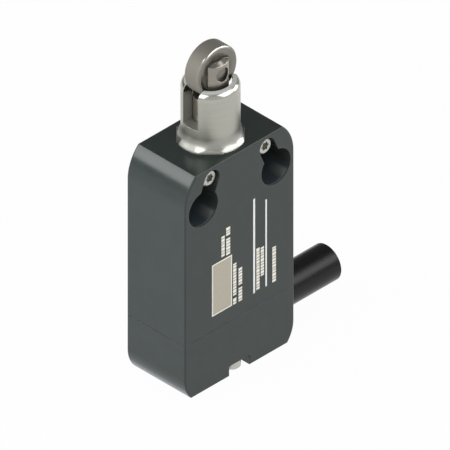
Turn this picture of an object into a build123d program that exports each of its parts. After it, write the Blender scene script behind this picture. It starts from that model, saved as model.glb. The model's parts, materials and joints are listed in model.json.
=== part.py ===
from build123d import *
import os
from math import asin, cos, degrees, radians, sin

# Roller plunger limit switch: a small die-cast case, pre-wired with a cable stub.
# Millimetres. The origin is the centre of the case's bottom face, X right, Y back, Z up.

# Case
case_width = 30.0
case_depth = 16.0
cover_height = 13.0
side_wall = 2.2
face_wall = 1.8
floor_wall = 2.0
edge_radius = 0.3
seam_bevel = 0.15
top_corner_radius = 9.4
top_corner_drop = 6.9
bottom_corner_radius = 7.04
bottom_corner_rise = 4.7
chamber_corner_radius = 2.0

# Travel of the plunger and of the contacts
stroke = 5.5
contact_travel = 1.2
slot_floor_gap = 0.4
clip_floor_gap = 0.8

# Screws
screw_radius = 1.25
screw_clearance = 0.05
screw_head_radius = 1.825
screw_head_thickness = 1.68
socket_radius = 1.0
socket_depth = 0.9

# Fixing holes, and the head screws that hold the sleeve
fixing_spacing = 20.0
fixing_drop = 8.6
fixing_hole_radius = 2.15
well_radius = 4.0
well_depth = 10.0
well_wall = 1.6
head_screw_drop = 2.8
head_screw_length = 10.4
screw_recess_gap = 0.255
screw_recess_depth = 2.3

# Cover screws, each in a notch of the bottom edge
cover_screw_inset = 2.2
cover_screw_length = 13.0
notch_width = 5.75
notch_height = 2.4
notch_side_gap = 0.375
notch_head_drop = 0.2
notch_pad_wall = 1.2
boss_radius = 2.2
boss_block_gap = 0.1

# Gasket between cover and housing
gasket_width = 0.6
gasket_thickness = 0.8

# Guide sleeve
sleeve_radius = 5.87
sleeve_height = 13.5
sleeve_top_round = 1.5
shank_step = 0.63
shank_clearance = 0.05
shank_groove_depth = 0.17
shank_groove_clearance = 0.05
shank_land = 0.1
collar_flat_cover = 0.1
collar_corner = 0.45
collar_rim_height = 0.2
collar_flare_height = 2.5
sleeve_mouth_gap = 0.725
sleeve_mouth_depth = 2.0
sleeve_mouth_taper = 0.7
guide_clearance = 0.05

# Rings in the sleeve
o_ring_radius = 0.34
o_ring_clearance = 0.01
o_ring_side_gap = 0.1
o_ring_land = 0.26
seal_width = 0.95
seal_thickness = 1.3
seal_height = 1.2
seal_clearance = 0.04

# Roller and axle pin
roller_radius = 5.5
roller_width = 3.9
roller_height = 16.1
roller_bevel = 0.4
roller_side_clearance = 0.1
pin_radius = 1.5
pin_length = 5.8
pin_clearance = 0.05
pin_seat_clearance = 0.01

# Piston and its fork
piston_radius = 3.6
fork_rise = 2.85
fork_chamfer_width = 1.04
fork_chamfer_height = 0.65
fork_floor_clearance = 0.5
flange_lip = 0.7
flange_thickness = 1.6
flange_gap = 0.1
tail_radius = 2.3
tail_wall = 0.4

# Return spring, in the bore between the sleeve and the partition
stem_bore_clearance = 0.3
partition_thickness = 1.5
partition_hole_clearance = 0.1
return_spring_wire = 0.35
return_spring_turns = 5
spring_seat_gap = 0.05

# Contact carrier
spigot_depth = 2.0
spigot_clearance = 0.02
shoulder_below_roof = 1.4
column_radius = 1.1
column_overhang = 0.6
clip_thickness = 0.5
clip_gap = 0.2

# Contact block
wiring_room = 5.0
block_depth = 6.0
block_wall = 0.9
lid_thickness = 0.8
lid_bevel = 0.4
block_clearance = 0.2
block_leg_width = 1.0
block_leg_depth = 4.0
block_leg_gap = 0.1

# Contacts
bridge_thickness = 0.5
bridge_end_gap = 0.75
bridge_hole_clearance = 0.15
bridge_corner_flat = 0.4
tip_radius = 1.1
tip_thickness = 0.35
tip_inset = 1.4
tip_gap = 0.02
terminal_thickness = 0.5
terminal_slot_clearance = 0.05
nc_leg_room = 0.85
no_leg_gap = 0.2
tag_length = 1.7
contact_spring_gap = 0.35
contact_spring_wire = 0.15
contact_spring_turns = 5

# Cable stub and its cores
cable_radius = 4.0
cable_squeeze = 0.3
cable_squeeze_taper = 0.2
cable_z = 6.0
cable_reach = 17.0
cable_clearance = 0.1
core_radius = 1.03
core_pitch_radius = 1.8
core_clearance = 0.02
core_end_gap = 0.4
conductor_radius = 0.5
conductor_bare = 1.9
core_bend = 2.6
core_tight_bend = 1.4

# Cable entry
gland_length = 7.0
gland_drop = 0.5
sheath_overhang = 0.4
grommet_wall = 0.9
grommet_length = 3.2
crimp_wall = 0.7
crimp_length = 1.2
gland_gap = 0.05

# Earth connection, on the cover's floor
earth_y = -2.4
earth_boss_radius = 2.2
earth_boss_height = 1.7
lug_radius = 2.0
lug_gap = 0.2
lug_thickness = 0.5
lug_barrel_wall = 0.35
lug_barrel_length = 2.2
lug_barrel_lap = 0.6
earth_screw_radius = 1.0
earth_screw_head_radius = 1.7
earth_screw_head_thickness = 1.4
earth_screw_length = 2.4

# Widths and depths that follow from the sizes above
half_width = case_width / 2
half_depth = case_depth / 2
chamber_half_width = half_width - side_wall
chamber_half_depth = half_depth - face_wall
cover_screw_y = half_depth - cover_screw_inset
notch_depth = cover_screw_inset + screw_head_radius + notch_side_gap
cover_screw_head_thickness = notch_height - notch_head_drop
screw_recess_radius = screw_head_radius + screw_recess_gap
shank_radius = sleeve_radius + shank_step
shank_hole_radius = shank_radius + shank_clearance
shank_groove_radius = shank_radius - shank_groove_depth
collar_flat = shank_radius + collar_flat_cover
collar_radius = collar_flat + collar_corner
head_screw_offset = shank_groove_radius + shank_groove_clearance + screw_radius
fork_half = roller_width / 2 + roller_side_clearance
flange_radius = piston_radius + flange_lip
stem_bore_radius = flange_radius + stem_bore_clearance
partition_hole_radius = tail_radius + partition_hole_clearance
return_spring_radius = (tail_radius + stem_bore_radius) / 2
spigot_radius = tail_radius - tail_wall
contact_spring_radius = column_radius + contact_spring_gap + contact_spring_wire
terminal_width = block_depth - 2 * lid_thickness - 2 * block_clearance
bridge_width = terminal_width - 2 * block_clearance
clip_radius = terminal_width / 2
block_half_width = chamber_half_width - block_clearance
nc_leg_offset = block_half_width - block_wall - nc_leg_room - terminal_thickness / 2
bridge_half = nc_leg_offset - terminal_thickness / 2 - bridge_end_gap
tip_offset = bridge_half - tip_inset
no_leg_offset = tip_offset - tip_radius - no_leg_gap - terminal_thickness / 2
ledge_start = block_leg_width + block_clearance - block_half_width
earth_x = ledge_start + lug_gap + lug_radius
gland_block_start = half_width - gland_length
sheath_inner_end = gland_block_start - sheath_overhang
squeezed_radius = cable_radius - cable_squeeze
cable_end = half_width + cable_reach
grommet_end = chamber_half_width
crimp_end = grommet_end - grommet_length - gland_gap

# Heights, stacked from the cover to the roller
gland_top = cover_height - gland_drop
block_bottom = cover_height + wiring_room
boss_top = block_bottom - boss_block_gap
tag_bottom = block_bottom - tag_length
clip_bottom = block_bottom + block_wall + clip_floor_gap + stroke
clip_top = clip_bottom + clip_thickness
bridge_bottom = clip_top + clip_gap
bridge_top = bridge_bottom + bridge_thickness
bridge_tip_top = bridge_top + tip_thickness
bridge_tip_bottom = bridge_bottom - tip_thickness
nc_tip_bottom = bridge_tip_top + tip_gap
no_tip_top = bridge_tip_bottom - contact_travel - tip_gap
contact_spring_solid = 2 * contact_spring_wire * (contact_spring_turns + 1)
shoulder_z = bridge_top + contact_spring_solid + stroke - contact_travel
block_top = shoulder_z + shoulder_below_roof + block_wall
partition_bottom = block_top + block_clearance
stem_bore_floor = partition_bottom + partition_thickness
tail_end = stem_bore_floor + stroke
return_spring_solid = 2 * return_spring_wire * (return_spring_turns + 1)
flange_bottom = stem_bore_floor + 2 * spring_seat_gap + return_spring_solid + stroke
flange_top = flange_bottom + flange_thickness
shank_bottom = flange_top + flange_gap
shank_groove_half = screw_radius + shank_groove_clearance
head_screw_z = shank_bottom + shank_land + shank_groove_half
case_height = head_screw_z + head_screw_drop
o_ring_half = o_ring_radius + o_ring_side_gap
o_ring_z = head_screw_z + shank_groove_half + o_ring_land + o_ring_half
fixing_z = case_height - fixing_drop
chamber_top = fixing_z - well_radius - well_wall
sleeve_top = case_height + sleeve_height
roller_z = case_height + roller_height
slot_floor = roller_z - roller_radius - stroke - slot_floor_gap
fork_floor = roller_z - roller_radius - fork_floor_clearance
fork_top = roller_z + fork_rise

parts = {}


def box_between(x0, x1, y0, y1, z0, z1):
    """Box given by its lower and upper limits along each axis."""
    middle = Pos((x0 + x1) / 2, (y0 + y1) / 2, (z0 + z1) / 2)
    return middle * Box(x1 - x0, y1 - y0, z1 - z0)


def rod_x(radius, y, z, x0, x1):
    """Round bar along X."""
    return Pos((x0 + x1) / 2, y, z) * Rot(0, 90, 0) * Cylinder(radius, x1 - x0)


def rod_y(radius, x, z, y0, y1):
    """Round bar along Y."""
    return Pos(x, (y0 + y1) / 2, z) * Rot(90, 0, 0) * Cylinder(radius, y1 - y0)


def rod_z(radius, x, y, z0, z1):
    """Round bar along Z."""
    return Pos(x, y, (z0 + z1) / 2) * Cylinder(radius, z1 - z0)


def turned(points):
    """Solid turned about Z from its radius and height profile."""
    profile = make_face(Polyline(*[(radius, z) for radius, z in points], close=True))
    return revolve(Plane.XZ * profile, Axis.Z)


def case_front(corner_radius, corner_z, end_z, inset=0.0):
    """Front view from the seam to one end, with an arc at each corner."""
    half = half_width - inset
    radius = corner_radius - inset
    turn = degrees(asin((end_z - corner_z) / radius))
    seam_start = (0, cover_height)
    seam_end = (half, cover_height)
    corner = CenterArc((half - radius, corner_z), radius, 0, turn)
    right = Curve() + [
        Line(seam_start, seam_end),
        Line(seam_end, corner @ 0),
        corner,
        Line(corner @ 1, (0, end_z)),
    ]
    return Plane.XZ * make_face(right + mirror(right, Plane.YZ))


def chamber_plan():
    """Plan of the chamber, which goes round the bosses of the cover screws."""
    plan = RectangleRounded(2 * chamber_half_width, 2 * chamber_half_depth, chamber_corner_radius)
    bosses = Locations((0, cover_screw_y), (0, -cover_screw_y))
    return plan - [place * Circle(boss_radius) for place in bosses]


def soften_faces(case, radius):
    """Round the outline of the front and rear faces, except along the seam."""
    rims = ShapeList()
    for face in (case.faces().sort_by(Axis.Y)[0], case.faces().sort_by(Axis.Y)[-1]):
        for edge in face.outer_wire().edges():
            if abs(edge.center().Z - cover_height) > radius:
                rims.append(edge)
    return fillet(rims, radius)


def bevel_seam(case):
    """Small bevel round the seam, which shows as the parting line."""
    level = case.faces().filter_by(Axis.Z)
    seam = level.sort_by(lambda face: abs(face.center().Z - cover_height))[0]
    return chamfer(seam.outer_wire().edges(), seam_bevel)


def six_lobe_socket():
    """Star-shaped driver recess, its mouth at Z = 0 and its floor below."""
    lobe_radius = socket_radius * 0.24
    star = Circle(socket_radius * 0.78)
    star += [place * Circle(lobe_radius) for place in PolarLocations(socket_radius - lobe_radius, 6)]
    return extrude(star, -socket_depth)


def machine_screw(length, head_thickness, radius=screw_radius, head_radius=screw_head_radius):
    """Pan-head screw with its seat at Z = 0 and its shank below."""
    crown = 0.3
    body = turned([
        (0, head_thickness),
        (head_radius - crown, head_thickness),
        (head_radius, head_thickness - crown),
        (head_radius, 0),
        (radius, 0),
        (radius, radius - length),
        (radius * 0.5, -length),
        (0, -length),
    ])
    return body - Pos(0, 0, head_thickness) * six_lobe_socket()


def coil_spring(radius, wire, low, high, turns):
    """Open coil spring about Z, between two seats."""
    rise = high - low - 2 * wire
    path = Helix(pitch=rise / turns, height=rise, radius=radius)
    section = Plane(path @ 0, z_dir=path % 0) * Circle(wire)
    return Pos(0, 0, low + wire) * sweep(section, path, is_frenet=True)


def make_housing():
    """Upper case: mounting wells, neck slots, sleeve bore, stem bore and contact chamber."""
    front = case_front(top_corner_radius, case_height - top_corner_drop, case_height)
    housing = soften_faces(extrude(front, half_depth, both=True), edge_radius)
    housing = bevel_seam(housing)

    low_chamber = Pos(0, 0, cover_height) * extrude(chamber_plan(), boss_top - cover_height)
    plan = RectangleRounded(2 * chamber_half_width, 2 * chamber_half_depth, chamber_corner_radius)
    high_chamber = Pos(0, 0, boss_top) * extrude(plan, chamber_top - boss_top)
    high_chamber -= rod_z(stem_bore_radius + well_wall, 0, 0, partition_bottom, chamber_top)
    housing -= [low_chamber, high_chamber]

    housing -= rod_z(shank_hole_radius, 0, 0, shank_bottom, case_height)
    housing -= rod_z(stem_bore_radius, 0, 0, stem_bore_floor, shank_bottom)
    housing -= rod_z(partition_hole_radius, 0, 0, partition_bottom, stem_bore_floor)

    well_floor = well_depth - half_depth
    recess_floor = screw_recess_depth - half_depth
    for side in (-1, 1):
        well_x = side * fixing_spacing / 2
        screw_x = side * head_screw_offset
        housing -= rod_y(well_radius, well_x, fixing_z, -half_depth, well_floor)
        housing -= rod_y(fixing_hole_radius, well_x, fixing_z, well_floor, half_depth)
        neck = SlotCenterPoint(
            ((well_x + screw_x) / 2, (fixing_z + head_screw_z) / 2),
            (screw_x, head_screw_z),
            2 * screw_recess_radius,
        )
        housing -= Pos(0, recess_floor, 0) * extrude(Plane.XZ * neck, screw_recess_depth)
        screw_hole = screw_radius + screw_clearance
        hole_end = recess_floor + head_screw_length + screw_clearance
        housing -= rod_y(screw_hole, screw_x, head_screw_z, recess_floor, hole_end)
    for place in (-cover_screw_y, cover_screw_y):
        hole_top = notch_height + cover_screw_length + screw_clearance
        housing -= rod_z(screw_radius + screw_clearance, 0, place, cover_height, hole_top)
    return housing


def make_cover():
    """Lower case: screw notches and pads, gland block, gasket rebate and earth boss."""
    front = case_front(bottom_corner_radius, bottom_corner_rise, 0)
    cover = soften_faces(extrude(front, half_depth, both=True), edge_radius)
    cover = bevel_seam(cover)

    inner = case_front(bottom_corner_radius, bottom_corner_rise, floor_wall, side_wall)
    hollow = extrude(inner, chamber_half_depth, both=True)
    column = Pos(0, 0, floor_wall) * extrude(chamber_plan(), cover_height - floor_wall)
    hollow = hollow & column
    pad_half = notch_width / 2 + notch_pad_wall
    pad_inner = half_depth - notch_depth - notch_pad_wall
    pad_top = notch_height + notch_pad_wall
    for side in (-1, 1):
        pad_y = sorted((side * pad_inner, side * half_depth))
        hollow -= box_between(-pad_half, pad_half, pad_y[0], pad_y[1], 0, pad_top)
    hollow -= box_between(gland_block_start, half_width, -half_depth, half_depth, 0, gland_top)
    ledge_half = block_leg_depth / 2 + block_clearance
    hollow -= box_between(-half_width, ledge_start, -ledge_half, ledge_half, 0, gland_top)
    hollow -= rod_z(earth_boss_radius, earth_x, earth_y, 0, floor_wall + earth_boss_height)
    cover -= hollow

    rebate = offset(chamber_plan(), gasket_width)
    cover -= Pos(0, 0, cover_height - gasket_thickness) * extrude(rebate, gasket_thickness)
    cover -= rod_x(squeezed_radius + cable_clearance, 0, cable_z, grommet_end, half_width)
    pocket_radius = cable_radius + grommet_wall + gland_gap
    cover -= rod_x(pocket_radius, 0, cable_z, gland_block_start, grommet_end)

    for side in (-1, 1):
        notch_y = sorted((side * (half_depth - notch_depth), side * half_depth))
        cover -= box_between(-notch_width / 2, notch_width / 2, notch_y[0], notch_y[1], 0, notch_height)
        screw_y = side * cover_screw_y
        cover -= rod_z(screw_radius + screw_clearance, 0, screw_y, notch_height, cover_height)
    earth_seat = floor_wall + earth_boss_height
    earth_hole = earth_seat + lug_thickness - earth_screw_length - screw_clearance
    cover -= rod_z(earth_screw_radius + screw_clearance, earth_x, earth_y, earth_hole, earth_seat)
    return cover


def make_gasket():
    """Flat ring in the cover's rebate, round the chamber and inside the screws."""
    ring = offset(chamber_plan(), gasket_width - screw_clearance) - chamber_plan()
    return Pos(0, 0, cover_height - gasket_thickness) * extrude(ring, gasket_thickness)


def make_sleeve():
    """Turned guide sleeve: grooved shank, flared collar with flats, rounded top, roller slot."""
    bore = piston_radius + guide_clearance
    o_ring_floor = shank_hole_radius - 2 * (o_ring_radius + o_ring_clearance)
    mouth_radius = piston_radius + sleeve_mouth_gap
    mouth = sleeve_top - sleeve_mouth_depth
    top_round = min(sleeve_top_round, sleeve_radius - mouth_radius - guide_clearance / 2)
    rim_top = (collar_radius, case_height + collar_rim_height)
    flare_top = (sleeve_radius, case_height + collar_rim_height + collar_flare_height)
    round_start = (sleeve_radius, sleeve_top - top_round)
    round_end = (sleeve_radius - top_round, sleeve_top)
    shank = Polyline(
        (bore, shank_bottom),
        (shank_radius, shank_bottom),
        (shank_radius, head_screw_z - shank_groove_half),
        (shank_groove_radius, head_screw_z - shank_groove_half),
        (shank_groove_radius, head_screw_z + shank_groove_half),
        (shank_radius, head_screw_z + shank_groove_half),
        (shank_radius, o_ring_z - o_ring_half),
        (o_ring_floor, o_ring_z - o_ring_half),
        (o_ring_floor, o_ring_z + o_ring_half),
        (shank_radius, o_ring_z + o_ring_half),
        (shank_radius, case_height),
        (collar_radius, case_height),
        rim_top,
    )
    flare = TangentArc(flare_top, rim_top, tangent=(0, -1))
    wall = Line(flare_top, round_start)
    crown = TangentArc(round_start, round_end, tangent=(0, 1))
    inside = Polyline(
        round_end,
        (mouth_radius, sleeve_top),
        (mouth_radius, mouth),
        (bore, mouth - sleeve_mouth_taper),
        (bore, shank_bottom),
    )
    sleeve = revolve(Plane.XZ * make_face(shank + flare + wall + crown + inside), Axis.Z)
    sleeve &= Rot(0, 0, 45) * Box(2 * collar_flat, 2 * collar_flat, 2 * sleeve_top)
    seal_low = shank_bottom + seal_height
    sleeve -= rod_z(bore + seal_width, 0, 0, seal_low, seal_low + seal_thickness + seal_clearance)
    reach = collar_radius
    return sleeve - box_between(-reach, reach, -fork_half, fork_half, slot_floor, sleeve_top)


def make_o_ring():
    """Round ring in the outer groove of the shank."""
    ring_radius = shank_hole_radius - o_ring_radius - o_ring_clearance
    return Pos(0, 0, o_ring_z) * Torus(ring_radius, o_ring_radius)


def make_seal():
    """Ring with a lip, in the inner groove of the sleeve."""
    inner = piston_radius + seal_clearance
    outer = piston_radius + guide_clearance + seal_width - seal_clearance
    low = shank_bottom + seal_height + seal_clearance / 2
    high = low + seal_thickness
    lip = seal_thickness * 0.35
    return turned([
        (inner, high),
        (outer, high),
        (outer, low),
        (outer - 0.4, low),
        (inner + 0.3, low + lip),
        (inner, high - lip),
    ])


def make_piston():
    """Turned piston: forked top, stop flange and bored tail."""
    piston = turned([
        (0, fork_top),
        (piston_radius - fork_chamfer_width, fork_top),
        (piston_radius, fork_top - fork_chamfer_height),
        (piston_radius, flange_top),
        (flange_radius, flange_top),
        (flange_radius, flange_bottom),
        (tail_radius, flange_bottom),
        (tail_radius, tail_end),
        (0, tail_end),
    ])
    reach = piston_radius
    piston -= box_between(-reach, reach, -fork_half, fork_half, fork_floor, fork_top)
    piston -= rod_y(pin_radius + pin_seat_clearance, 0, roller_z, -piston_radius, piston_radius)
    return piston - rod_z(spigot_radius, 0, 0, tail_end, tail_end + spigot_depth)


def make_roller():
    """Plain steel roller with bevelled rims."""
    half = roller_width / 2
    roller = rod_y(roller_radius, 0, roller_z, -half, half)
    roller = chamfer(roller.edges().filter_by(GeomType.CIRCLE), roller_bevel)
    return roller - rod_y(pin_radius + pin_clearance, 0, roller_z, -half, half)


def make_carrier():
    """Moulded carrier: spigot in the piston's tail, shoulder and guide column."""
    return turned([
        (0, tail_end + spigot_depth),
        (spigot_radius - spigot_clearance, tail_end + spigot_depth),
        (spigot_radius - spigot_clearance, shoulder_z),
        (column_radius, shoulder_z),
        (column_radius, block_bottom - column_overhang),
        (0, block_bottom - column_overhang),
    ])


def make_clip():
    """Retaining ring on the column, which lifts the bridge."""
    ring = rod_z(clip_radius, 0, 0, clip_bottom, clip_top)
    return ring - rod_z(column_radius + spigot_clearance, 0, 0, clip_bottom, clip_top)


def make_bridge():
    """Contact strip with a hole for the column."""
    corner = bridge_width / 2 - bridge_corner_flat
    plan = RectangleRounded(2 * bridge_half, bridge_width, corner)
    strip = Pos(0, 0, bridge_bottom) * extrude(plan, bridge_thickness)
    return strip - rod_z(column_radius + bridge_hole_clearance, 0, 0, bridge_bottom, bridge_top)


def terminal(side, leg_offset, strip_low, strip_end, tip_face, tip_side):
    """Bent strip: vertical leg with its tag, and an arm that carries the contact tip."""
    half = terminal_width / 2
    strip_high = strip_low + terminal_thickness
    leg_inner = leg_offset - terminal_thickness / 2
    leg = sorted((side * leg_inner, side * (leg_inner + terminal_thickness)))
    arm = sorted((side * leg_offset, side * strip_end))
    bent = box_between(leg[0], leg[1], -half, half, tag_bottom, strip_high)
    bent += box_between(arm[0], arm[1], -half, half, strip_low, strip_high)
    tip = sorted((tip_face, strip_low if tip_side < 0 else strip_high))
    return bent + rod_z(tip_radius, side * tip_offset, 0, tip[0], tip[1])


def block_slots():
    """Slots in the block's floor for the four legs."""
    slot_x = terminal_thickness / 2 + terminal_slot_clearance
    slot_y = terminal_width / 2 + terminal_slot_clearance
    floor_top = block_bottom + block_wall
    slot = box_between(-slot_x, slot_x, -slot_y, slot_y, block_bottom, floor_top)
    legs = (-nc_leg_offset, -no_leg_offset, no_leg_offset, nc_leg_offset)
    return [Pos(leg_x, 0, 0) * slot for leg_x in legs]


def make_block_base():
    """Moulded tray of the contact block, open to the front."""
    half_w = block_half_width
    half_d = block_depth / 2
    base = box_between(-half_w, half_w, lid_thickness - half_d, half_d, block_bottom, block_top)
    leg_half = block_leg_depth / 2
    leg_low = gland_top + block_leg_gap
    leg = box_between(-block_leg_width, 0, -leg_half, leg_half, leg_low, block_bottom)
    base += [Pos(half_w, 0, 0) * leg, Pos(block_leg_width - half_w, 0, 0) * leg]
    base -= box_between(
        block_wall - half_w,
        half_w - block_wall,
        lid_thickness - half_d,
        half_d - lid_thickness,
        block_bottom + block_wall,
        block_top - block_wall,
    )
    base -= block_slots()
    base -= rod_z(spigot_radius + block_clearance, 0, 0, block_top - block_wall, block_top)
    return base - rod_z(column_radius + block_clearance, 0, 0, block_bottom, block_bottom + block_wall)


def make_block_lid():
    """Flat lid of the contact block."""
    half_w = block_half_width
    front = -block_depth / 2
    lid = box_between(-half_w, half_w, front, front + lid_thickness, block_bottom, block_top)
    return chamfer(lid.edges().filter_by(Axis.Y), lid_bevel)


def core_places():
    """Centres of the five cores in the cable's section: two high, two midway, one low."""
    turns = {"no_right": 36, "nc_right": -36, "nc_left": 108, "no_left": -108, "earth": 180}
    return {
        name: (core_pitch_radius * sin(radians(turn)), cable_z + core_pitch_radius * cos(radians(turn)))
        for name, turn in turns.items()
    }


def core_route(y, z, targets, bend):
    """Route of one core from the cable's cut end through the given X and Z corners."""
    corners = [(cable_end, y, z)] + [(x, y, height) for x, height in targets]
    if len(corners) == 2:
        return Line(*corners)
    return FilletPolyline(*corners, radius=bend)


def along(route, radius, bore=0.0):
    """Round bar or tube along a route that starts in the -X direction."""
    start = Plane(route @ 0, z_dir=route % 0)
    bar = sweep(start * Circle(radius), route)
    return bar - sweep(start * Circle(bore), route) if bore else bar


def make_cable():
    """Cut cable stub: sheath, five cores and their conductors."""
    profile = turned([
        (0, 0),
        (cable_radius, 0),
        (cable_radius, cable_reach - cable_squeeze_taper),
        (squeezed_radius, cable_reach),
        (squeezed_radius, cable_end - sheath_inner_end),
        (0, cable_end - sheath_inner_end),
    ])
    sheath = Pos(cable_end, 0, cable_z) * Rot(0, -90, 0) * profile
    for y, z in core_places().values():
        sheath -= rod_x(core_radius + core_clearance, y, z, sheath_inner_end, cable_end)
    parts["cable_sheath"] = sheath

    beside = terminal_thickness / 2 + conductor_radius + core_clearance
    top = tag_bottom - core_end_gap
    over_gland = gland_top + core_radius + core_end_gap / 2
    no_x = no_leg_offset - beside
    nc_x = nc_leg_offset - beside
    barrel_x = earth_x + lug_radius + lug_barrel_length
    for name, (y, z) in core_places().items():
        corners = {
            "no_right": [(no_x, z), (no_x, top)],
            "nc_right": [(no_x, z), (no_x, over_gland), (nc_x, over_gland), (nc_x, top)],
            "nc_left": [(-nc_x, z), (-nc_x, top)],
            "no_left": [(-no_x, z), (-no_x, top)],
            "earth": [(barrel_x, z)],
        }[name]
        end_x, end_z = corners[-1]
        bare_end = (end_x - conductor_bare, z) if name == "earth" else (end_x, end_z + conductor_bare)
        bend = core_tight_bend if name.endswith("right") else core_bend
        insulated = core_route(y, z, corners, bend)
        bared = core_route(y, z, corners[:-1] + [bare_end], bend)
        parts["core_" + name] = along(insulated, core_radius, conductor_radius + core_clearance)
        parts["conductor_" + name] = along(bared, conductor_radius)


def make_gland():
    """Grommet squeezed round the cable, and the crimp ring that holds the pull."""
    inner = squeezed_radius + core_clearance
    grommet_start = grommet_end - grommet_length
    grommet = rod_x(cable_radius + grommet_wall, 0, cable_z, grommet_start, grommet_end - gland_gap)
    parts["cable_grommet"] = grommet - rod_x(inner, 0, cable_z, grommet_start, grommet_end)
    crimp_start = crimp_end - crimp_length
    crimp = rod_x(cable_radius + crimp_wall, 0, cable_z, crimp_start, crimp_end)
    parts["cable_crimp_ring"] = crimp - rod_x(inner, 0, cable_z, crimp_start, crimp_end)


def make_earth():
    """Ring lug with a crimp barrel on the earth conductor, and its screw."""
    seat = floor_wall + earth_boss_height
    top = seat + lug_thickness
    core_y, core_z = core_places()["earth"]
    barrel_outer = conductor_radius + core_clearance + lug_barrel_wall
    barrel_start = earth_x + lug_radius - lug_barrel_lap
    lug = rod_z(lug_radius, earth_x, earth_y, seat, top)
    lug += box_between(earth_x, barrel_start + lug_thickness, earth_y, core_y, seat, top)
    barrel_end = barrel_start + lug_barrel_length
    lug += rod_x(barrel_outer, core_y, core_z, barrel_start, barrel_end)
    lug -= rod_x(conductor_radius + core_clearance, core_y, core_z, barrel_start, barrel_end)
    lug -= rod_z(earth_screw_radius + screw_clearance, earth_x, earth_y, seat, top)
    parts["earth_lug"] = lug
    screw = machine_screw(
        earth_screw_length, earth_screw_head_thickness, earth_screw_radius, earth_screw_head_radius
    )
    parts["earth_screw"] = Pos(earth_x, earth_y, top) * screw


parts["housing"] = make_housing()
parts["bottom_cover"] = make_cover()
parts["cover_gasket"] = make_gasket()
parts["guide_sleeve"] = make_sleeve()
parts["sleeve_o_ring"] = make_o_ring()
parts["plunger_seal"] = make_seal()
parts["piston"] = make_piston()
parts["axle_pin"] = rod_y(pin_radius, 0, roller_z, -pin_length / 2, pin_length / 2)
parts["roller"] = make_roller()
parts["contact_carrier"] = make_carrier()
parts["carrier_clip"] = make_clip()
parts["contact_bridge"] = make_bridge()
parts["contact_block_base"] = make_block_base()
parts["contact_block_lid"] = make_block_lid()

head_seat = screw_recess_depth - half_depth
for name, side in (("left", -1), ("right", 1)):
    screw = Rot(90, 0, 0) * machine_screw(head_screw_length, screw_head_thickness)
    parts["head_screw_" + name] = Pos(side * head_screw_offset, head_seat, head_screw_z) * screw
    nc_low = nc_tip_bottom + tip_thickness
    no_low = no_tip_top - tip_thickness - terminal_thickness
    nc_arm_end = tip_offset - tip_radius
    no_arm_end = tip_offset + tip_radius
    parts["nc_terminal_" + name] = terminal(side, nc_leg_offset, nc_low, nc_arm_end, nc_tip_bottom, -1)
    parts["no_terminal_" + name] = terminal(side, no_leg_offset, no_low, no_arm_end, no_tip_top, 1)
    tip = rod_z(tip_radius, side * tip_offset, 0, bridge_tip_bottom, bridge_tip_top)
    parts["contact_bridge"] += tip

for name, side in (("front", -1), ("rear", 1)):
    screw = Rot(180, 0, 0) * machine_screw(cover_screw_length, cover_screw_head_thickness)
    parts["cover_screw_" + name] = Pos(0, side * cover_screw_y, notch_height) * screw

parts["return_spring"] = coil_spring(
    return_spring_radius,
    return_spring_wire,
    stem_bore_floor + spring_seat_gap,
    flange_bottom - spring_seat_gap,
    return_spring_turns,
)
parts["contact_spring"] = coil_spring(
    contact_spring_radius,
    contact_spring_wire,
    bridge_top + spring_seat_gap,
    shoulder_z - spring_seat_gap,
    contact_spring_turns,
)

make_cable()
make_gland()
make_earth()

os.makedirs("parts", exist_ok=True)
for name, shape in parts.items():
    export_step(shape, "parts/" + name + ".step")
    print(name, round(shape.volume, 2))
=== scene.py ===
import json
import math

import bmesh
import bpy
from mathutils import Matrix, Vector


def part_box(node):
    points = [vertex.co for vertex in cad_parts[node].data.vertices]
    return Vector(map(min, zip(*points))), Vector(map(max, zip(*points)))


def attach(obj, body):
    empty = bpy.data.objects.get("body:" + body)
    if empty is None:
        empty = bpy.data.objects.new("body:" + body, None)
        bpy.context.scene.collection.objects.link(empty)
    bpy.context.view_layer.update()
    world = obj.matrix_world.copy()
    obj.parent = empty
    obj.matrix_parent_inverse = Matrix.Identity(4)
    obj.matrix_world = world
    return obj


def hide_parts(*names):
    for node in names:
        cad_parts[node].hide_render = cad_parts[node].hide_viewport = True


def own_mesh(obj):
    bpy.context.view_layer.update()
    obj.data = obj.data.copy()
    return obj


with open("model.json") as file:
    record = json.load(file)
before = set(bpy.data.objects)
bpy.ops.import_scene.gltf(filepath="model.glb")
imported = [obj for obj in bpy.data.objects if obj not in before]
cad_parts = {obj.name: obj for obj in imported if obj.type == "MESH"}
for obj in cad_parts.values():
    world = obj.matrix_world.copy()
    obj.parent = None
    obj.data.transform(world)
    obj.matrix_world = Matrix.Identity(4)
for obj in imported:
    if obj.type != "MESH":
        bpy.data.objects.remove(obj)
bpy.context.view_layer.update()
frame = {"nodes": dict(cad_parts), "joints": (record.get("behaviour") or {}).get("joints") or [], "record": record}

nodes = frame["nodes"]
mm = 0.001
noiseBand = (0.3, 0.7)  # nearly all of a noise lies between these


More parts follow.
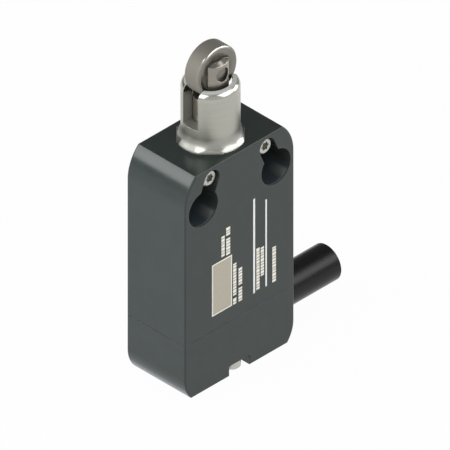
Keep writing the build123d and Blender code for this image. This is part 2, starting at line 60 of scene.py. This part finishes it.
class Value:
    # one output of a shader node, on which Python's operators add Math nodes
    def __init__(self, board, socket):
        self.board = board
        self.socket = socket

    def worked(self, operation, *others):
        inputs = dict(enumerate((self, *others)))
        return self.board.node("ShaderNodeMath", {"operation": operation}, inputs)

    def __add__(self, other):
        return self.worked("ADD", other)

    def __radd__(self, other):
        return self.worked("ADD", other)

    def __sub__(self, other):
        return self.worked("SUBTRACT", other)

    def __rsub__(self, other):
        return self.board.node("ShaderNodeMath", {"operation": "SUBTRACT"}, {0: other, 1: self})

    def __mul__(self, other):
        return self.worked("MULTIPLY", other)

    def __rmul__(self, other):
        return self.worked("MULTIPLY", other)

    def __abs__(self):
        return self.worked("ABSOLUTE")

    def most(self, *others):
        # the highest of this value and the others
        highest = self
        for other in others:
            highest = highest.worked("MAXIMUM", other)
        return highest

    def ramp(self, low, high, outLow=0.0, outHigh=1.0):
        # smooth step from outLow to outHigh while the value goes from low to high
        settings = {"interpolation_type": "SMOOTHSTEP", "clamp": True}
        inputs = {"Value": self, "From Min": low, "From Max": high, "To Min": outLow, "To Max": outHigh}
        return self.board.node("ShaderNodeMapRange", settings, inputs)

    def fade(self, low, high):
        # smooth step down from 1 to 0
        return self.ramp(low, high, 1.0, 0.0)


class Board:
    # the nodes of one material or of the world
    def __init__(self, tree):
        self.tree = tree
        tree.nodes.clear()

    def node(self, kind, settings=None, inputs=None, output=0):
        made = self.tree.nodes.new(kind)
        for name, setting in (settings or {}).items():
            setattr(made, name, setting)
        for name, given in (inputs or {}).items():
            socket = made.inputs[name]
            if isinstance(given, Value):
                self.tree.links.new(given.socket, socket)
            else:
                socket.default_value = given
        return Value(self, made.outputs[output]) if made.outputs else made

    def place(self, scale=(1, 1, 1)):
        # object coordinates in mm, stretched
        spot = self.node("ShaderNodeTexCoord", output="Object")
        inputs = {"Vector": spot, "Scale": [s / mm for s in scale]}
        return self.node("ShaderNodeMapping", {"vector_type": "POINT"}, inputs)

    def axes(self):
        # x, y and z of the object coordinates in mm
        split = self.node("ShaderNodeSeparateXYZ", inputs={"Vector": self.place()})
        return [Value(self, end) for end in split.socket.node.outputs]

    def rays(self, *kinds):
        # 1 for the kinds of light path that are asked for
        path = self.node("ShaderNodeLightPath").socket.node
        return [Value(self, path.outputs[f"Is {kind} Ray"]) for kind in kinds]

    def noise(self, vector, scale, detail=2.0, rough=0.5):
        inputs = {"Vector": vector, "Scale": scale, "Detail": detail, "Roughness": rough}
        return self.node("ShaderNodeTexNoise", {"noise_dimensions": "3D"}, inputs)

    def mixed(self, factor, first, second):
        settings = {"data_type": "RGBA", "blend_type": "MIX"}
        inputs = {"Factor": factor, 6: first, 7: second}
        return self.node("ShaderNodeMix", settings, inputs, output=2)

    def softened(self, radius, samples=6):
        # normals that round the sharp edges by a radius in mm
        return self.node("ShaderNodeBevel", {"samples": samples}, {"Radius": radius * mm})

    def bumped(self, height, depth, under=None):
        # depth is the relief in mm for a height of 1
        inputs = {"Height": height, "Distance": depth * mm}
        if under is not None:
            inputs["Normal"] = under
        return self.node("ShaderNodeBump", inputs=inputs)

    def surface(self, **sockets):
        inputs = {name.replace("_", " "): given for name, given in sockets.items()}
        shader = self.node("ShaderNodeBsdfPrincipled", inputs=inputs)
        self.node("ShaderNodeOutputMaterial", inputs={"Surface": shader})


def newBoard(name):
    material = bpy.data.materials.new(name)
    material.use_nodes = True
    return material, Board(material.node_tree)


def color(*srgb):
    # linear color from the 0 to 255 values that a screen shows
    linear = [c / 12.92 if c <= 0.04045 else ((c + 0.055) / 1.055) ** 2.4 for c in (v / 255 for v in srgb)]
    return (*linear, 1.0)


def grey(level):
    return (level, level, level, 1.0)


def distance(first, second):
    # how far two coordinates lie from their zero together
    return (first * first + second * second).worked("SQRT")


def boxOf(node):
    # lowest and highest corner of a CAD node, in mm
    return [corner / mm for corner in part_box(node)]


def placed(name, content):
    piece = bpy.data.objects.new(name, content)
    bpy.context.scene.collection.objects.link(piece)
    return piece


def shaped(name, shape, material):
    # a piece from a finished bmesh
    mesh = bpy.data.meshes.new(name)
    shape.to_mesh(mesh)
    shape.free()
    mesh.materials.append(material)
    return placed(name, mesh)


print("materials")
# the case's paint; the seam runs round it at the top of the cover
paintLook = {
    "dark": (37, 47, 45), "light": (40, 50, 48), "cloudScale": 0.25,
    "grainScale": 2.2, "grainDetail": 3.0, "grainDepth": 0.003,
    "roughBand": (0.2, 0.8), "roughLow": 0.19, "roughHigh": 0.23, "gloss": 0.46, "edge": 0.2,
    "seamSpan": (0.2, 0.4), "seamShade": (37, 46, 45), "seamRough": 0.25,
}

# painted light on the walls of the fixing wells, their necks and the notches: paler than the paint, palest low
# down, with a painted glint low on the far side and a painted highlight on the lower lip; in mm:
# across and high from the middle of a well, deep from the front
wellLightLook = {
    "lowShade": (70, 80, 86), "highShade": (56, 59, 57), "lowToHigh": (-3.0, -0.6),
    "wellAcross": 4.6, "neckAcross": -0.1, "neckHigh": (2.9, 3.4), "topHigh": (7.4, 7.6),
    "wallSpan": (-0.1, 0.0), "mouthDeep": (0.05, 0.4), "backDeep": (15.7, 15.9),
    "glint": (116, 120, 118), "glintAcross": (1.0, 2.9), "glintDeep": (1.5, 5.0),
    "glintFrom": (-4.1, -3.4), "glintTo": (-2.6, -1.9),
    "lipFrom": (-5.0, -4.8), "lipTo": (-3.2, -2.4), "lipDeep": (0.4, 0.7),
}


def shadedWells(board, look, tint):
    # the hollows are painted paler, as painted light where little light reaches them, with a painted glint low on
    # the far side and a painted highlight on the lower lip
    holes = next(mount for mount in frame["record"]["mounts"] if mount["name"] == "fixing_holes")
    middle = holes["dims"]["spacing_x_mm"] / 2
    x, y, z = board.axes()
    high = z - holes["pos_m"][2] / mm
    deep = y - boxOf("housing")[0].y
    across = x - x.worked("SIGN") * middle
    wall = high.ramp(*look["neckHigh"], middle + look["wellAcross"], middle + look["neckAcross"])
    hollow = (abs(x) - wall).fade(*look["wallSpan"]) * high.fade(*look["topHigh"])
    hollow = hollow * deep.ramp(*look["mouthDeep"]) * deep.fade(*look["backDeep"])
    shade = board.mixed(high.ramp(*look["lowToHigh"]), color(*look["lowShade"]), color(*look["highShade"]))
    glint = across.ramp(*look["glintAcross"]) * deep.fade(*look["glintDeep"])
    glint = glint * high.ramp(*look["glintFrom"]) * high.fade(*look["glintTo"])
    # a painted highlight on the lower lip of each well
    lipHighlight = high.ramp(*look["lipFrom"]) * high.fade(*look["lipTo"]) * deep.fade(*look["lipDeep"])
    shade = board.mixed(glint.most(lipHighlight), shade, color(*look["glint"]))
    return board.mixed(hollow, tint, shade)


def painted(name, look, wells):
    material, board = newBoard(name)
    grain = board.noise(board.place(), look["grainScale"], look["grainDetail"])
    cloud = board.noise(board.place(), look["cloudScale"])
    tint = board.mixed(cloud.ramp(*noiseBand), color(*look["dark"]), color(*look["light"]))
    tint = shadedWells(board, wells, tint)
    rise = board.axes()[2] - boxOf("bottom_cover")[1].z
    seam = abs(rise).fade(*look["seamSpan"])
    rough = cloud.ramp(*look["roughBand"], look["roughLow"], look["roughHigh"])
    board.surface(
        Base_Color=board.mixed(seam, tint, color(*look["seamShade"])),
        Roughness=rough + seam * look["seamRough"],
        Normal=board.bumped(grain, look["grainDepth"], under=board.softened(look["edge"])),
        Specular_IOR_Level=look["gloss"],
    )
    return material


# steel with fine tool marks round an axis; the other metals are written as changes to it
steelLook = {
    "dark": (172, 172, 163), "light": (178, 178, 169), "metal": 1.0, "edge": 0.12,
    "axis": "z", "lineScale": 7.0, "lineSqueeze": 0.15, "lineDetail": 3.0, "lineRough": 0.6,
    "lineDepth": 0.0003, "cloudScale": 0.35, "roughBand": (0.25, 0.75), "roughLow": 0.3, "roughHigh": 0.34,
}


def toolMarks(board, look):
    # the marks run round the axis, so the noise is squeezed along it
    along = [look["lineScale"] if axis == look["axis"] else look["lineSqueeze"] for axis in "xyz"]
    lines = board.noise(board.place(along), 1.0, look["lineDetail"], look["lineRough"])
    cloud = board.noise(board.place(), look["cloudScale"])
    tint = board.mixed(lines.ramp(*noiseBand), color(*look["dark"]), color(*look["light"]))
    rough = cloud.ramp(*look["roughBand"], look["roughLow"], look["roughHigh"])
    return lines, tint, rough


def turnedMetal(name, look, paintedShadePlace=None):
    material, board = newBoard(name)
    lines, tint, rough = toolMarks(board, look)
    # a painted shade: where the place function gives a mask, the tint turns to the darker deep color
    if paintedShadePlace:
        tint = board.mixed(paintedShadePlace(board, look), tint, color(*look["deep"]))
    normal = board.bumped(lines, look["lineDepth"], under=board.softened(look["edge"]))
    board.surface(Base_Color=tint, Metallic=look["metal"], Roughness=rough, Normal=normal)
    return material


# the guide sleeve, in mm: rise from the case's top, drop from the sleeve's own top,
# wall is the radius over the collar and flat the distance from the axis to a flat
guideLook = dict(
    steelLook, roughLow=0.38, roughHigh=0.42, wall=5.87, flat=6.6,
    collarRise=(0.8, 1.6), collarEdge=0.7, edgeSamples=8,
    polish=0.23, footRise=(0.7, 1.5), shoulderDrop=(1.4, 2.4),
    sideSlope=0.3, sideSpan=(-0.3, 0.4), sideDull=0.6,
    flatSpan=(-0.15, -0.05), flatMetal=0.1,
    # the slot and the bore have a matt tint of their own, a painted light in place of the dark reflections inside
    inside=(168, 168, 162), insideSpan=(-0.25, -0.1), insideDrop=(1.6, 2.0), insideMetal=0.65,
    # the flare is darker low down, a painted shade near the case top
    flare=(157, 158, 150), flareRise=(1.2, 4.0),
    # the crest of the mouth is pale and matt, a painted light on the band that faces up
    crestLight=(212, 214, 210), crestSpan=(-2.0, -1.8), crestDrop=(0.1, 0.45), crestMetal=0.15,
)


def guideSteel(name, look):
    # the collar blends softly into its matt flats, its foot is polished but dull towards both sides and carries a
    # painted shade low on the flare, the crest of the mouth is pale as painted light, and the slot and the bore
    # have a matt tint of their own as painted light
    material, board = newBoard(name)
    lines, tint, rough = toolMarks(board, look)
    x, y, z = board.axes()
    rise = z - boxOf("housing")[1].z
    drop = boxOf("guide_sleeve")[1].z - z
    edge = rise.ramp(*look["collarRise"], look["collarEdge"], look["edge"])
    beyondWall = distance(x, y) - look["wall"]
    beyondFlat = abs(x) + abs(y) - look["flat"] * math.sqrt(2)
    handled = (abs(y) - abs(x) * look["sideSlope"]).ramp(*look["sideSpan"])
    foot = rise.fade(*look["footRise"])
    flat = beyondFlat.ramp(*look["flatSpan"])
    inside = beyondWall.fade(*look["insideSpan"]) * drop.ramp(*look["insideDrop"])
    crestLight = drop.fade(*look["crestDrop"]) * beyondWall.ramp(*look["crestSpan"])
    tint = board.mixed(rise.fade(*look["flareRise"]), tint, color(*look["flare"]))
    tint = board.mixed(crestLight, tint, color(*look["crestLight"]))
    matt = flat * (1 - look["flatMetal"]) + inside * (1 - look["insideMetal"])
    matt = matt + crestLight * (1 - look["crestMetal"]) + foot * (1 - handled) * look["sideDull"]
    smooth = foot * handled + drop.fade(*look["shoulderDrop"])
    board.surface(
        Base_Color=board.mixed(inside, tint, color(*look["inside"])),
        Metallic=1 - matt,
        Roughness=rough - smooth * look["polish"],
        Normal=board.bumped(lines, look["lineDepth"], under=board.softened(edge, look["edgeSamples"])),
    )
    return material


screwLook = dict(steelLook, dark=(183, 184, 177), light=(190, 191, 184), lineScale=4.0, edge=0.08)
# the head screws' sockets are darker, a painted shade
headLook = dict(screwLook, axis="y", deep=(164, 163, 156), deepSpan=(0.12, 0.3))


def screwSocket(board, look):
    # a painted shade in the socket, behind the face of a head screw
    return (board.axes()[1] - boxOf("head_screw_left")[0].y).ramp(*look["deepSpan"])


pistonLook = dict(
    steelLook, dark=(141, 136, 127), light=(148, 143, 134), roughLow=0.2, roughHigh=0.24, metal=0.8, edge=0.4,
    # a painted shade darkens a narrow ring in the fork round the pin's end
    deep=(38, 36, 33), deepWidth=0.06,
)
pinLook = dict(steelLook, dark=(122, 118, 110), light=(130, 126, 118), metal=0.8, axis="y", edge=0.1)


def pinHole(board, look):
    # a painted shade on a narrow ring in the fork, round the end of the axle pin
    x, _, z = board.axes()
    low, high = boxOf("axle_pin")
    return distance(x, z - (low.z + high.z) / 2).fade(high.x, high.x + look["deepWidth"])


# the roller, in mm; the shares are of the round between its rim and its faces
rollerPlan = {"round": 0.55, "bends": 8, "steps": 144, "play": 0.05, "margin": 0.05}
rollerLook = dict(
    steelLook, dark=(125, 122, 114), light=(131, 128, 120), roughLow=0.18, roughHigh=0.22, axis="y",
    rim=(118, 115, 107), rimShares=(1.0, 0.6), rimMetal=0.4, rimRough=0.65,
    # a painted highlight on the tops of the rounds, which fades lower down
    roundHighlight=(172, 169, 163), highlightShares=(1.0, 0.8), dullRise=(3.5, 4.3), dullMetal=0.25,
    # a painted shade on the faces round the axle
    hubShade=(112, 109, 101), hubReach=(2.8, 4.8), hubMetal=0.3,
)


def rollerSteel(name, look, plan):
    # the rim is ground dull by use, the rounds carry a painted highlight on top, and the faces are matt and darker
    # round the axle, a painted shade
    material, board = newBoard(name)
    lines, tint, rough = toolMarks(board, look)
    x, y, z = board.axes()
    low, high = boxOf("roller")
    rise = z - (low.z + high.z) / 2
    reach = distance(x, rise)
    rim = abs(y).fade(*(high.y - share * plan["round"] for share in look["rimShares"]))
    roundHighlight = reach.ramp(*(high.x - share * plan["round"] for share in look["highlightShares"])) * (1 - rim)
    dull = roundHighlight * rise.fade(*look["dullRise"])
    hubShade = reach.fade(*look["hubReach"])
    tint = board.mixed(rim, tint, color(*look["rim"]))
    tint = board.mixed(roundHighlight - dull, tint, color(*look["roundHighlight"]))
    matt = rim * (1 - look["rimMetal"]) + hubShade * (1 - look["hubMetal"]) + dull * (1 - look["dullMetal"])
    board.surface(
        Base_Color=board.mixed(hubShade, tint, color(*look["hubShade"])),
        Metallic=1 - matt,
        Roughness=rough.most((rim + dull) * look["rimRough"]),
        Normal=board.bumped(lines, look["lineDepth"]),
    )
    return material


springLook = dict(steelLook, dark=(150, 150, 150), light=(180, 180, 180))
brassLook = dict(steelLook, dark=(190, 150, 80), light=(210, 170, 95), lineScale=2.0)
copperLook = dict(steelLook, dark=(190, 110, 75), light=(215, 135, 95), lineScale=2.0, axis="x")

rubberLook = {
    "dark": (20, 20, 20), "light": (30, 30, 30), "grainScale": 3.0, "grainDepth": 0.01,
    "rough": 0.7, "gloss": 0.3,
}
cableLook = dict(rubberLook, dark=(15, 15, 16), light=(22, 22, 23), grainScale=2.5, rough=0.27, gloss=0.25)
blockLook = dict(rubberLook, dark=(30, 30, 30), light=(42, 42, 42), rough=0.5)
lidLook = dict(blockLook, dark=(190, 170, 120), light=(205, 185, 135))
carrierLook = dict(blockLook, dark=(215, 215, 205), light=(228, 228, 218))

coreGrain = 0.9  # how dark the grain of a core is against its color
coreColors = {
    "black": (28, 28, 30), "brown": (92, 52, 30), "blue": (40, 80, 150),
    "grey": (130, 130, 130), "earth": (110, 150, 50),
}


def plastic(name, look):
    material, board = newBoard(name)
    grain = board.noise(board.place(), look["grainScale"])
    tint = board.mixed(grain.ramp(*noiseBand), color(*look["dark"]), color(*look["light"]))
    normal = board.bumped(grain, look["grainDepth"])
    board.surface(Base_Color=tint, Roughness=look["rough"], Normal=normal, Specular_IOR_Level=look["gloss"])
    return material


finishes = {
    "case_paint": painted("casePaint", paintLook, wellLightLook),
    "guide_steel": guideSteel("guideSteel", guideLook),
    "piston_steel": turnedMetal("pistonSteel", pistonLook, pinHole),
    "roller_steel": rollerSteel("rollerSteel", rollerLook, rollerPlan),
    "pin_steel": turnedMetal("pinSteel", pinLook),
    "screw_steel": turnedMetal("screwSteel", screwLook),
    "spring_steel": turnedMetal("springSteel", springLook),
    "seal_rubber": plastic("sealRubber", rubberLook),
    "block_plastic": plastic("blockPlastic", blockLook),
    "lid_plastic": plastic("lidPlastic", lidLook),
    "carrier_plastic": plastic("carrierPlastic", carrierLook),
    "contact_brass": turnedMetal("contactBrass", brassLook),
    "cable_black": plastic("cableBlack", cableLook),
    "conductor_copper": turnedMetal("conductorCopper", copperLook),
}
for core, shade in coreColors.items():
    look = dict(cableLook, dark=tuple(round(c * coreGrain) for c in shade), light=shade)
    finishes["core_" + core] = plastic("insulation_" + core, look)

# the head screws share their slot with the cover's screws, but have their own finish, with a painted shade in
# their sockets
headFinish = turnedMetal("headScrewSteel", headLook, screwSocket)
ownFinishes = {"head_screw_left": headFinish, "head_screw_right": headFinish}

slotOf = {part["node"]: part["material_slot"] for part in frame["record"]["subparts"]}
for name, piece in nodes.items():
    piece.data.materials.clear()
    piece.data.materials.append(ownFinishes.get(name, finishes[slotOf[name]]))

print("roller and springs")


def turnedRoller(name, plan):
    # a profile with round rims, turned about the axle
    low, high = boxOf("roller")
    pinLow, pinHigh = boxOf("axle_pin")
    rim, half, middle = (high.x - low.x) / 2, high.y, (low.z + high.z) / 2
    bore = (pinHigh.x - pinLow.x) / 2 + plan["play"]
    bend, bends, margin = plan["round"], plan["bends"], plan["margin"]
    arc = [math.radians(90 * step / bends) for step in range(bends + 1)]
    side = [(bore, half), (rim - bend - margin, half)]
    side += [(rim - bend + bend * math.sin(turn), half - bend + bend * math.cos(turn)) for turn in arc]
    side.append((rim, half - bend - margin))
    outline = side + [(reach, -at) for reach, at in reversed(side)]
    shape = bmesh.new()
    corners = [shape.verts.new(Vector((0, at, middle + reach)) * mm) for reach, at in outline]
    edges = [shape.edges.new(pair) for pair in zip(corners, corners[1:] + corners[:1])]
    bmesh.ops.spin(
        shape, geom=edges, cent=Vector((0, 0, middle)) * mm, axis=(0, 1, 0), angle=2 * math.pi,
        steps=plan["steps"], use_merge=True,
    )
    bmesh.ops.recalc_face_normals(shape, faces=shape.faces)
    for face in shape.faces:
        face.smooth = True
    piece = shaped(name, shape, finishes["roller_steel"])
    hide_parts("roller")
    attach(piece, "wheel")


def squashedSpring(name, node, body, loss):
    # a copy of the coil on the body, in place of the CAD coil; the share of its height that the loss in mm would
    # leave is worked out but not applied
    low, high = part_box(node)
    piece = placed(name, nodes[node].data.copy())
    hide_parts(node)
    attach(piece, body)
    keep = 1 - loss * mm / (high.z - low.z)
    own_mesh(piece)


travels = {joint["name"]: joint["range_m"][1] / mm for joint in frame["joints"] if "range_m" in joint}
plungerTravel = travels["plunger_slide"]
bridgeTravel = 1.2  # the contact spring stands on the bridge, which gives way by this
turnedRoller("turnedRoller", rollerPlan)
squashedSpring("returnSpring", "return_spring", "case", plungerTravel)
squashedSpring("contactSpring", "contact_spring", "bridge", plungerTravel - bridgeTravel)

print("print on the front")
# places in mm: x from the case's middle, z from its bottom; low and high ends of each field
printPlan = {
    "lift": 0.012,
    "panelLift": 0.018,
    "root": 0.01,
    "outline": 0.28,
    "dashes": (0.62, 0.45, 0.8, 0.55, 0.38, 0.7, 0.5),
    "shortest": 0.2,
    "gap": 0.14,
    "panel": (-7.6, -2.1, 16.6, 28.8),
    "rules": ((3.75, 4.25, 16.5, 39.0), (7.1, 7.5, 16.5, 37.2)),
    "bars": (
        (-5.0, -4.1, 29.5, 34.5),
        (-3.7, -2.6, 29.3, 33.4),
        (-3.7, -2.6, 33.9, 36.0),
        (-1.8, -0.9, 16.6, 18.2),
        (-1.8, -0.9, 18.7, 26.5),
        (-0.3, 0.7, 16.6, 20.0),
        (-0.3, 0.7, 20.5, 24.5),
        (4.6, 5.5, 16.9, 26.8),
        (5.8, 6.7, 19.6, 26.4),
        (9.0, 10.0, 16.5, 25.0),
    ),
}
inkLook = {
    "dark": (246, 242, 231), "light": (251, 247, 236), "grainScale": 3.0, "grainDepth": 0.002,
    "rough": 0.5, "gloss": 0.4,
}
ruleLook = dict(inkLook, dark=(250, 251, 250), light=(254, 255, 254))
panelLook = dict(inkLook, dark=(184, 177, 161), light=(193, 186, 170))


def printed(name, fields, material, lift):
    # thin fields whose faces stand a hair before the case, and whose backs lie inside it
    front = boxOf("housing")[0].y
    low, high = front - lift, front + printPlan["root"]
    shape = bmesh.new()
    for x0, x1, z0, z1 in fields:
        size = Matrix.Diagonal((x1 - x0, high - low, z1 - z0, 1.0))
        spot = Matrix.Translation(((x0 + x1) / 2, (low + high) / 2, (z0 + z1) / 2))
        bmesh.ops.create_cube(shape, size=1.0, matrix=Matrix.Scale(mm, 4) @ spot @ size)
    piece = shaped(name, shape, material)
    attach(piece, "case")


def dashed(bars, lengths, gap, shortest):
    # each bar is cut along z into short dashes of uneven lengths
    for x0, x1, z0, z1 in bars:
        low, count = z0, int(len(lengths) * x1)
        while low < z1 - shortest:
            high = min(low + lengths[count % len(lengths)], z1)
            yield x0, x1, low, high
            low, count = high + gap, count + 1


whiteInk = plastic("whiteInk", inkLook)
x0, x1, z0, z1 = printPlan["panel"]
rim, lift = printPlan["outline"], printPlan["lift"]
inner = (x0 + rim, x1 - rim, z0 + rim, z1 - rim)
dashes = dashed(printPlan["bars"], printPlan["dashes"], printPlan["gap"], printPlan["shortest"])
printed("printPanelRim", [printPlan["panel"]], whiteInk, lift)
printed("printPanel", [inner], plastic("panelInk", panelLook), printPlan["panelLift"])
printed("printRules", printPlan["rules"], plastic("ruleInk", ruleLook), lift)
printed("printBars", dashes, whiteInk, lift)

print("floor and light")
# sizes in mm; the mirror levels are what metal reflects of the room, before and behind the part
roomPlan = {
    "diffuse": 0.62,
    "toBack": (0.577, 0.577, 0.577),
    "mirrorBand": (-0.4, 0.6), "mirrorNear": 0.75, "mirrorFar": 0.24,
    "floorSize": 1500.0, "floorDark": 0.78, "floorLight": 0.8, "floorGrain": 0.2,
    "floorSpan": 120.0, "floorNear": 0.98, "floorFar": 1.0, "floorWhite": 0.97,
    "lampsAround": 40.0,
}

# soft lamps: direction from the object, distance and size in mm, and radiance;
# the panels only show in reflections, as the long strokes on the metal and the band on the case
softboxes = {
    "leftSoftbox": {"toward": (-1.0, 0.2, 0.12), "far": 420, "size": (400, 400), "level": 4.2},
    "frontSoftbox": {"toward": (0.35, -1.0, 0.1), "far": 420, "size": (260, 260), "level": 2.2},
}
panels = {
    "backPanel": {"toward": (-0.66, 0.58, 0.46), "far": 400, "size": (150, 170), "level": 5.4},
    "leftPanel": {"toward": (-0.87, -0.1, 0.72), "far": 400, "size": (240, 360), "level": 2.9},
    "rightPanel": {"toward": (0.4, -0.72, 0.67), "far": 400, "size": (350, 350), "level": 2.7},
    "sidePanel": {"toward": (0.87, -0.37, 0.32), "far": 400, "size": (190, 190), "level": 5.0},
}

# the floor is white to the camera and in reflections, but for a matt part that keeps the shadow
floorMaterial, board = newBoard("paleFloor")
camera, glossy, through = board.rays("Camera", "Glossy", "Transmission")
grit = board.noise(board.place(), roomPlan["floorGrain"]).ramp(*noiseBand)
gritty = board.mixed(grit, grey(roomPlan["floorDark"]), grey(roomPlan["floorLight"]))
matt = board.node("ShaderNodeBsdfDiffuse", inputs={"Color": gritty})
x, y, _ = board.axes()
span = roomPlan["floorSpan"]
mirrored = (x + y).ramp(-span, span, roomPlan["floorNear"], roomPlan["floorFar"])
shine = camera.most(through, glossy * mirrored)
glow = board.node("ShaderNodeEmission", inputs={"Color": grey(1), "Strength": shine})
white = camera.most(glossy, through) * roomPlan["floorWhite"]
both = board.node("ShaderNodeMixShader", inputs={0: white, 1: matt, 2: glow})
board.node("ShaderNodeOutputMaterial", inputs={"Surface": both})

shape = bmesh.new()
bmesh.ops.create_grid(shape, x_segments=1, y_segments=1, size=roomPlan["floorSize"] * mm)
floor = shaped("studioFloor", shape, floorMaterial)

world = bpy.data.worlds.new("studio")
bpy.context.scene.world = world
world.use_nodes = True
board = Board(world.node_tree)
camera, glossy, through = board.rays("Camera", "Glossy", "Transmission")
heading = {0: board.node("ShaderNodeTexCoord", output="Generated"), 1: roomPlan["toBack"]}
away = board.node("ShaderNodeVectorMath", {"operation": "DOT_PRODUCT"}, heading, output=1)
mirror = glossy * away.ramp(*roomPlan["mirrorBand"], roomPlan["mirrorNear"], roomPlan["mirrorFar"])
level = camera.most(through, mirror, (1 - glossy) * roomPlan["diffuse"])
backdrop = board.node("ShaderNodeBackground", inputs={"Color": grey(1), "Strength": level})
board.node("ShaderNodeOutputWorld", inputs={"Surface": backdrop})


def addSoftbox(name, plan, panel):
    lamp = bpy.data.lights.new(name, "AREA")
    lamp.shape = "RECTANGLE"
    lamp.size, lamp.size_y = (s * mm for s in plan["size"])
    lamp.energy = plan["level"] * math.pi * lamp.size * lamp.size_y
    toward = Vector(plan["toward"]).normalized()
    at = toward * plan["far"] * mm + Vector((0, 0, roomPlan["lampsAround"])) * mm
    stand = placed(name, lamp)
    stand.matrix_world = Matrix.Translation(at) @ toward.to_track_quat("Z", "Y").to_matrix().to_4x4()
    stand.visible_glossy = panel
    stand.visible_diffuse = not panel


for name, plan in softboxes.items():
    addSoftbox(name, plan, False)
for name, plan in panels.items():
    addSoftbox(name, plan, True)

print("camera")
# the photograph is an isometric view, so the camera is orthographic
cameraPlan = {
    "target": (12.24, 8.26, 20.49),
    "azimuth": -45.0,
    "elevation": 35.264,
    "distance": 400.0,
    "width": 87.58,
    "clip": (10.0, 10000.0),
}
lens = bpy.data.cameras.new("photoCamera")
lens.type = "ORTHO"
lens.ortho_scale = cameraPlan["width"] * mm
lens.clip_start, lens.clip_end = (end * mm for end in cameraPlan["clip"])
azimuth, elevation = math.radians(cameraPlan["azimuth"]), math.radians(cameraPlan["elevation"])
back = Vector((
    math.sin(azimuth) * math.cos(elevation),
    -math.cos(azimuth) * math.cos(elevation),
    math.sin(elevation),
))
at = Vector(cameraPlan["target"]) * mm + back * cameraPlan["distance"] * mm
viewer = placed("photoCamera", lens)
viewer.matrix_world = Matrix.Translation(at) @ back.to_track_quat("Z", "Y").to_matrix().to_4x4()
bpy.context.scene.camera = viewer
bpy.context.scene.view_settings.view_transform = "Standard"
